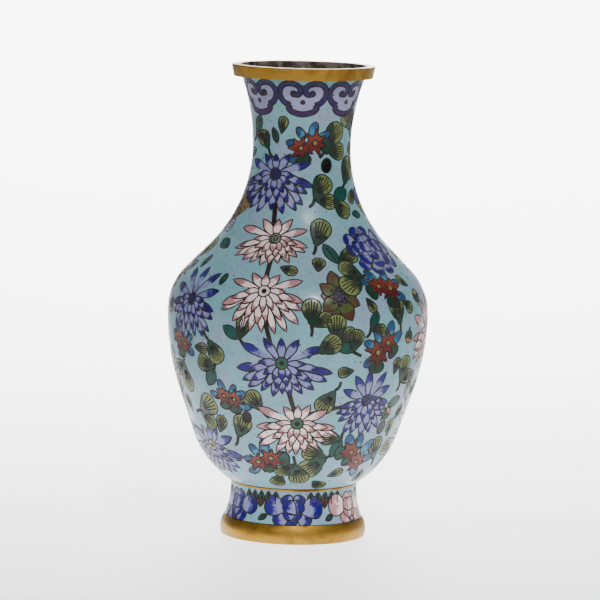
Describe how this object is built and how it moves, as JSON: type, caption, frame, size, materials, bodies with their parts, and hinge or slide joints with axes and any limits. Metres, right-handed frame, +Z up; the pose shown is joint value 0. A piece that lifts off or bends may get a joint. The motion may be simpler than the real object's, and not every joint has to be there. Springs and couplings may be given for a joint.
{
  "type": "cloisonne vase",
  "caption": "Baluster vase of copper sheet with flower cloisonne enamel, a gilt mouth ring and a gilt foot ring.",
  "frame": {"origin": "middle of the foot ring's bottom face", "axes": "+Z up along the axis of the vase, front of the decoration towards -Y"},
  "size_m": [0.1272, 0.1272, 0.23],
  "materials": {
    "copper": "satin",
    "gilt_brass": "satin",
    "cloison_wire": "satin",
    "turquoise_enamel": "gloss",
    "counter_enamel": "gloss",
    "blue_enamel": "gloss",
    "pink_enamel": "gloss",
    "green_enamel": "gloss",
    "red_enamel": "gloss",
    "indigo_enamel": "gloss",
    "black_enamel": "gloss",
    "olive_enamel": "gloss"
  },
  "bodies": {
    "root": {"base_counter_enamel": "counter_enamel", "base_plate": "copper", "belly_chrysanthemum_cloisons": "cloison_wire", "belly_copper": "copper", "blossom_cloisons": "cloison_wire", "blossom_enamel": "red_enamel", "body_ground_enamel": "turquoise_enamel", "butterfly_cloisons": "cloison_wire", "butterfly_enamel": "olive_enamel", "chrysanthemum_01_blue": "blue_enamel", "chrysanthemum_02_pink": "pink_enamel", "chrysanthemum_03_pink": "pink_enamel", "chrysanthemum_04_blue": "blue_enamel", "chrysanthemum_05_pink": "pink_enamel", "chrysanthemum_06_blue": "blue_enamel", "chrysanthemum_07_blue": "blue_enamel", "chrysanthemum_08_pink": "pink_enamel", "chrysanthemum_09_blue": "blue_enamel", "chrysanthemum_10_pink": "pink_enamel", "chrysanthemum_11_pink": "pink_enamel", "chrysanthemum_12_blue": "blue_enamel", "chrysanthemum_13_blue": "blue_enamel", "chrysanthemum_14_pink": "pink_enamel", "chrysanthemum_15_blue": "blue_enamel", "chrysanthemum_16_pink": "pink_enamel", "chrysanthemum_17_pink": "pink_enamel", "chrysanthemum_18_blue": "blue_enamel", "chrysanthemum_19_pink": "pink_enamel", "chrysanthemum_20_blue": "blue_enamel", "collar_cloisons": "cloison_wire", "collar_enamel": "indigo_enamel", "foot_copper": "copper", "foot_ground_enamel": "turquoise_enamel", "foot_leaf_cloisons": "cloison_wire", "foot_leaf_enamel": "green_enamel", "foot_peony_cloisons": "cloison_wire", "foot_peony_enamel": "blue_enamel", "foot_ring": "gilt_brass", "fruit_cloisons": "cloison_wire", "fruit_enamel": "black_enamel", "leaf_cloisons": "cloison_wire", "leaf_enamel": "green_enamel", "lower_chrysanthemum_cloisons": "cloison_wire", "mouth_ring": "gilt_brass", "neck_chrysanthemum_cloisons": "cloison_wire", "neck_copper": "copper", "peony_1": "blue_enamel", "peony_2": "blue_enamel", "peony_cloisons": "cloison_wire", "pomegranate_enamel": "olive_enamel", "shoulder_chrysanthemum_cloisons": "cloison_wire", "shoulder_copper": "copper", "waist_band": "gilt_brass"}
  },
  "joints": []
}
